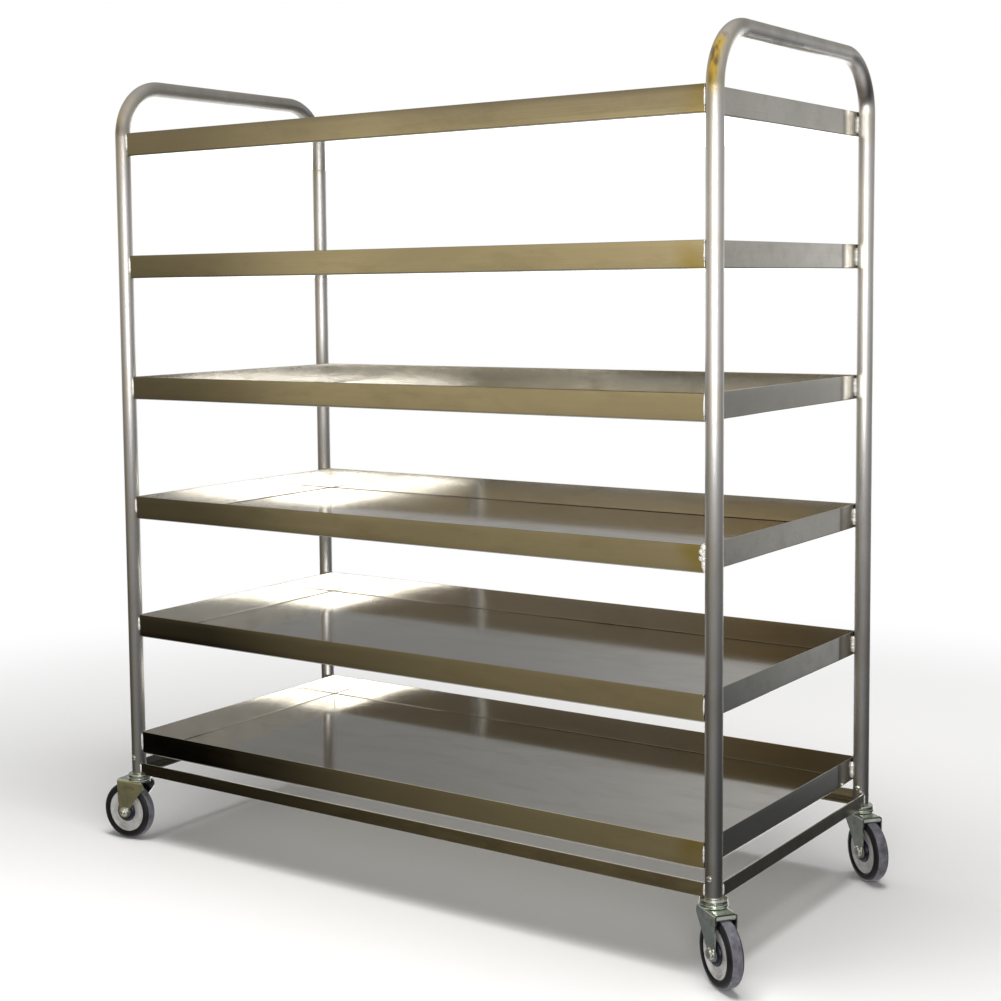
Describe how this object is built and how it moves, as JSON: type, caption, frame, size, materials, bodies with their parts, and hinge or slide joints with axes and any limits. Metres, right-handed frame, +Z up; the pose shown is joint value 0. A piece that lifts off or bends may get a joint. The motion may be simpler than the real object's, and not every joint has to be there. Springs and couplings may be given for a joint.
{
  "type": "book cart",
  "caption": "Tall steel tray cart for books: pressed trays with upturned lips between bent tube end frames whose tops are push handles, on swivel casters.",
  "frame": {"origin": "on the floor under the middle of the cart", "axes": "+X along the cart, +Y across it to the back, +Z up; the long side at -Y is the front"},
  "size_m": [1.5851, 0.7868, 1.6729],
  "materials": {
    "tube_steel": "polished stainless tube with bright streaks and weld marks",
    "tray_steel": "brushed stainless sheet, warm grey, faint smears",
    "rail_steel": "satin stainless angle",
    "zinc_plate": "bright zinc-plated pressed steel",
    "fastener_steel": "bright plated bolts and rivets",
    "tyre_rubber": "smooth black rubber tread",
    "wheel_plastic": "light grey moulded plastic",
    "guard_plastic": "black moulded plastic"
  },
  "bodies": {
    "root": {"front_right_leg": "tube_steel", "back_right_leg": "tube_steel", "right_handle": "tube_steel", "front_left_leg": "tube_steel", "back_left_leg": "tube_steel", "left_handle": "tube_steel", "tray_1": "tray_steel", "tray_2": "tray_steel", "tray_3": "tray_steel", "tray_4": "tray_steel", "tray_5": "tray_steel", "tray_6": "tray_steel", "front_base_rail": "rail_steel", "back_base_rail": "rail_steel", "right_base_rail": "rail_steel", "left_base_rail": "rail_steel", "front_right_caster_stem": "zinc_plate", "front_right_stem_pin": "fastener_steel", "back_right_caster_stem": "zinc_plate", "back_right_stem_pin": "fastener_steel", "front_left_caster_stem": "zinc_plate", "front_left_stem_pin": "fastener_steel", "back_left_caster_stem": "zinc_plate", "back_left_stem_pin": "fastener_steel"},
    "front_right_swivel": {"front_right_ball_cup": "zinc_plate", "front_right_kingpin": "fastener_steel", "front_right_fork": "zinc_plate", "front_right_axle_bolt": "fastener_steel", "front_right_axle_nut": "fastener_steel"},
    "front_right_wheel": {"front_right_tyre": "tyre_rubber", "front_right_wheel_disc": "wheel_plastic", "front_right_outer_thread_guard": "guard_plastic", "front_right_inner_thread_guard": "guard_plastic"},
    "back_right_swivel": {"back_right_ball_cup": "zinc_plate", "back_right_kingpin": "fastener_steel", "back_right_fork": "zinc_plate", "back_right_axle_bolt": "fastener_steel", "back_right_axle_nut": "fastener_steel"},
    "back_right_wheel": {"back_right_tyre": "tyre_rubber", "back_right_wheel_disc": "wheel_plastic", "back_right_outer_thread_guard": "guard_plastic", "back_right_inner_thread_guard": "guard_plastic"},
    "front_left_swivel": {"front_left_ball_cup": "zinc_plate", "front_left_kingpin": "fastener_steel", "front_left_fork": "zinc_plate", "front_left_axle_bolt": "fastener_steel", "front_left_axle_nut": "fastener_steel"},
    "front_left_wheel": {"front_left_tyre": "tyre_rubber", "front_left_wheel_disc": "wheel_plastic", "front_left_outer_thread_guard": "guard_plastic", "front_left_inner_thread_guard": "guard_plastic"},
    "back_left_swivel": {"back_left_ball_cup": "zinc_plate", "back_left_kingpin": "fastener_steel", "back_left_fork": "zinc_plate", "back_left_axle_bolt": "fastener_steel", "back_left_axle_nut": "fastener_steel"},
    "back_left_wheel": {"back_left_tyre": "tyre_rubber", "back_left_wheel_disc": "wheel_plastic", "back_left_outer_thread_guard": "guard_plastic", "back_left_inner_thread_guard": "guard_plastic"}
  },
  "joints": [
    {"name": "front_right_swivel_turn", "type": "hinge", "parent": "root", "child": "front_right_swivel", "pos_m": [0.706, -0.33, 0.14], "axis": [0, 0, 1], "continuous": true},
    {"name": "front_right_wheel_spin", "type": "hinge", "parent": "front_right_swivel", "child": "front_right_wheel", "pos_m": [0.73027, -0.34763, 0.0625], "axis": [0.5878, 0.809, 0], "continuous": true},
    {"name": "back_right_swivel_turn", "type": "hinge", "parent": "root", "child": "back_right_swivel", "pos_m": [0.706, 0.33, 0.14], "axis": [0, 0, 1], "continuous": true},
    {"name": "back_right_wheel_spin", "type": "hinge", "parent": "back_right_swivel", "child": "back_right_wheel", "pos_m": [0.72964, 0.31153, 0.0625], "axis": [0.6157, 0.788, 0], "continuous": true},
    {"name": "front_left_swivel_turn", "type": "hinge", "parent": "root", "child": "front_left_swivel", "pos_m": [-0.706, -0.33, 0.14], "axis": [0, 0, 1], "continuous": true},
    {"name": "front_left_wheel_spin", "type": "hinge", "parent": "front_left_swivel", "child": "front_left_wheel", "pos_m": [-0.73578, -0.33366, 0.0625], "axis": [0.1219, -0.9925, 0], "continuous": true},
    {"name": "back_left_swivel_turn", "type": "hinge", "parent": "root", "child": "back_left_swivel", "pos_m": [-0.706, 0.33, 0.14], "axis": [0, 0, 1], "continuous": true},
    {"name": "back_left_wheel_spin", "type": "hinge", "parent": "back_left_swivel", "child": "back_left_wheel", "pos_m": [-0.73027, 0.34763, 0.0625], "axis": [-0.5878, -0.809, 0], "continuous": true}
  ]
}
